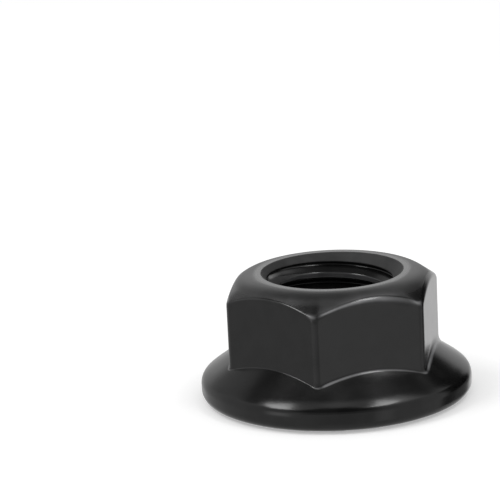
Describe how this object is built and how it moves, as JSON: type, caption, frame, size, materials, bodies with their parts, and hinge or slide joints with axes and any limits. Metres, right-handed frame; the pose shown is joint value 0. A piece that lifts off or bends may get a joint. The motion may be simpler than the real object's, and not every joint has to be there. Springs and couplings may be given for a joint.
{
  "type": "serrated hexagon flange nut",
  "caption": "Black steel hexagon nut with a wide round flange, a threaded through bore with a countersink at each end, and curved one-way locking teeth under the flange.",
  "frame": {"origin": "on the bore's axis, in the plane that the crests of the flange's teeth stand on", "axes": "+Z along the bore from the toothed flange to the chamfered top of the hexagon; +Y square to one flat of the hexagon; +X through one corner of the hexagon"},
  "size_m": [0.025, 0.025, 0.0117],
  "materials": {
    "nut_steel": "satin"
  },
  "bodies": {
    "root": {"flange_nut": "nut_steel"}
  },
  "joints": []
}
